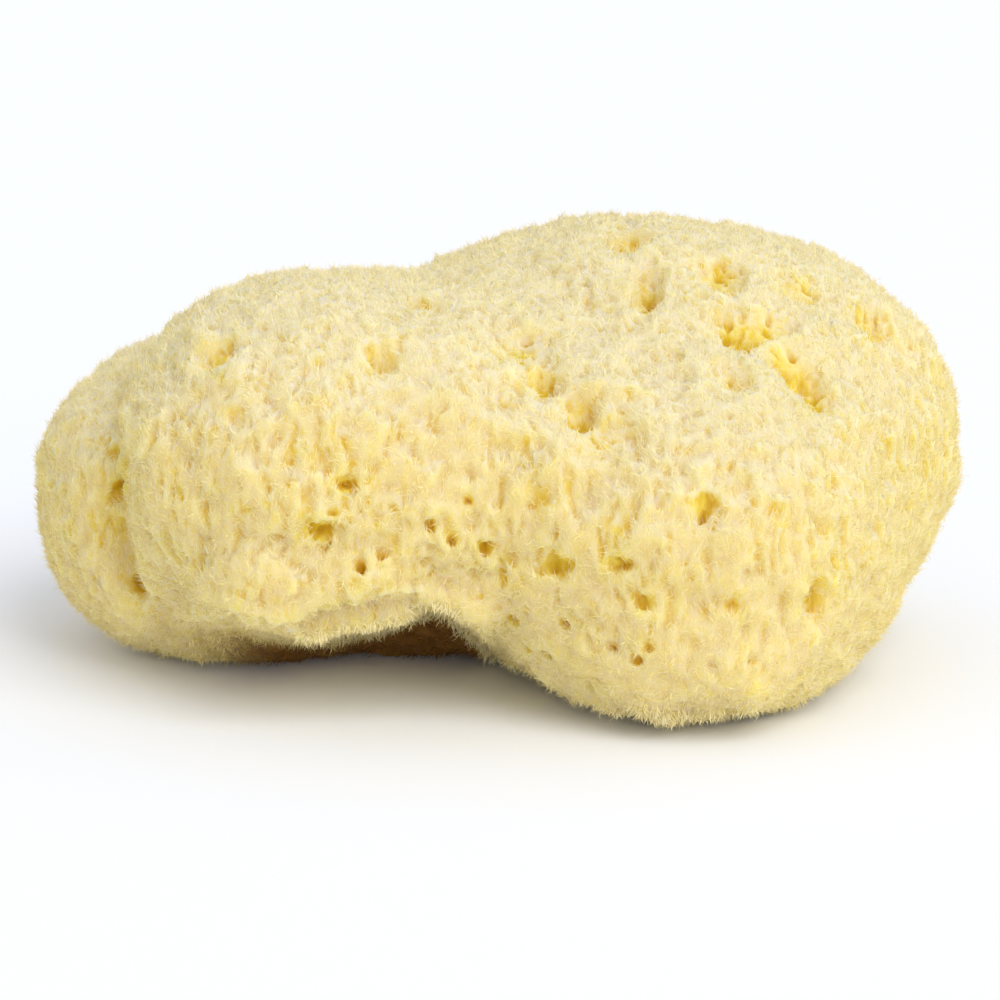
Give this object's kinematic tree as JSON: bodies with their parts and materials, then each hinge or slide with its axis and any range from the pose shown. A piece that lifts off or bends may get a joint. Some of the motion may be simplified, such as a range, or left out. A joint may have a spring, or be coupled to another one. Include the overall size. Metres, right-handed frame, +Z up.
{
  "type": "sea sponge",
  "caption": "Natural bath sponge: a springy, pale yellow, lobed body full of pores and fine fibres, held in the hand for washing.",
  "frame": {"origin": "on the ground, under the middle of the bounding box", "axes": "+X along the sponge's length, +Z up, -Y towards the front with the arch"},
  "size_m": [0.14, 0.094, 0.066],
  "materials": {
    "sponge": "matte, fibrous and porous"
  },
  "bodies": {
    "root": {"sea_sponge": "sponge"}
  },
  "joints": []
}
